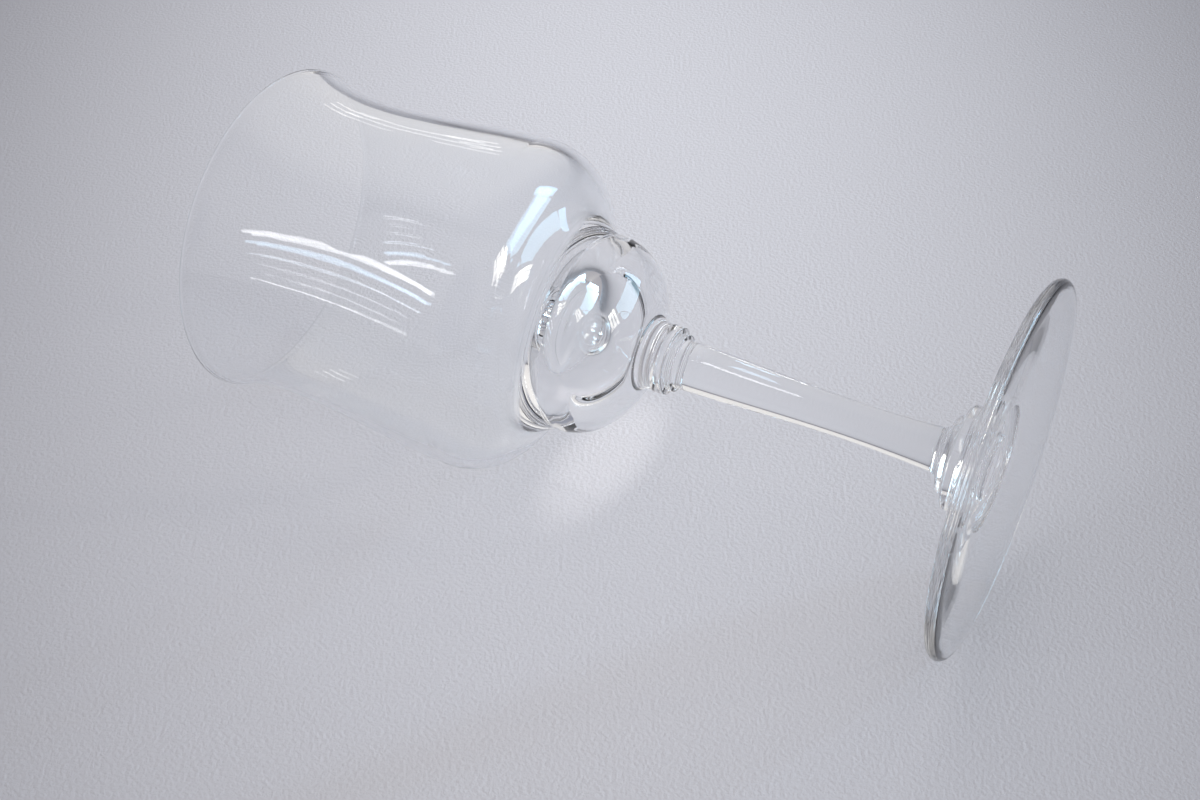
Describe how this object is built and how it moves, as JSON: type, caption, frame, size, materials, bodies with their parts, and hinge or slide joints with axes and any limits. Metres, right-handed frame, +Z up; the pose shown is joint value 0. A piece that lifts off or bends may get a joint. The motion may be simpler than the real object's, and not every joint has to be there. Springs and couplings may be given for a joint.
{
  "type": "wine glass",
  "caption": "Clear stemmed goblet with a flared bell bowl, thick round knop, collared stem and wide flat foot.",
  "frame": {"origin": "centre of the plane that the foot rests on", "axes": "+Z up along the glass's axis, from the foot to the mouth; X and Y are equivalent, as the glass is round"},
  "size_m": [0.076, 0.076, 0.1668],
  "materials": {
    "clear_glass": "clear, fire-polished"
  },
  "bodies": {
    "root": {"foot": "clear_glass", "foot_boss": "clear_glass", "stem": "clear_glass", "neck_ring": "clear_glass", "collar": "clear_glass", "knop": "clear_glass", "bowl": "clear_glass"}
  },
  "joints": []
}
